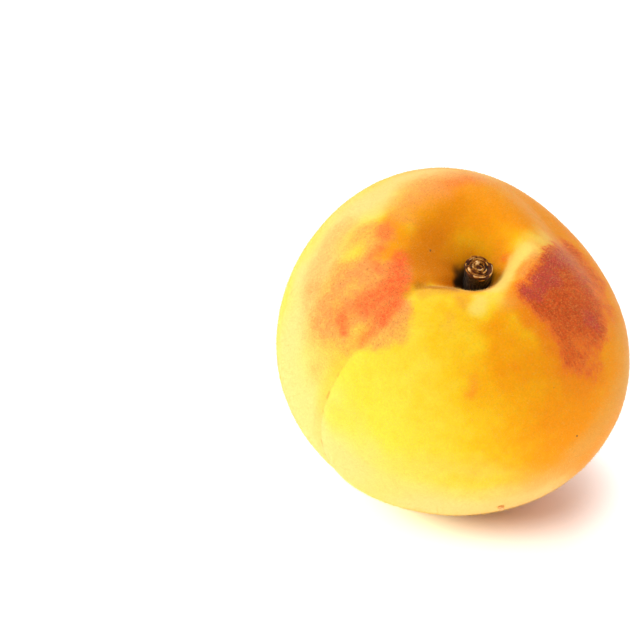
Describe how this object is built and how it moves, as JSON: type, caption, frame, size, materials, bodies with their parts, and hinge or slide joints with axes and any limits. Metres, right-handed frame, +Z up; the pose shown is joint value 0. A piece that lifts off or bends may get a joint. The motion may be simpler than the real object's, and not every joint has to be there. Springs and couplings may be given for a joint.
{
  "type": "yellow peach",
  "caption": "Ripe yellow peach with a stem cavity, a suture and a short broken stem stub, lying on a small flat spot with its stem end tipped to the front.",
  "frame": {"origin": "middle of the flat spot on the underside that the fruit rests on", "axes": "+Z up; the stem end leans about 30 degrees from +Z towards the front, -Y, and a little to +X"},
  "size_m": [0.0736, 0.0747, 0.0695],
  "materials": {
    "skin": "velvety matt skin, yellow to orange with red blush",
    "stem": "dry, dark, fibrous at its broken end"
  },
  "bodies": {
    "root": {"fruit": "skin", "stem": "stem"}
  },
  "joints": []
}
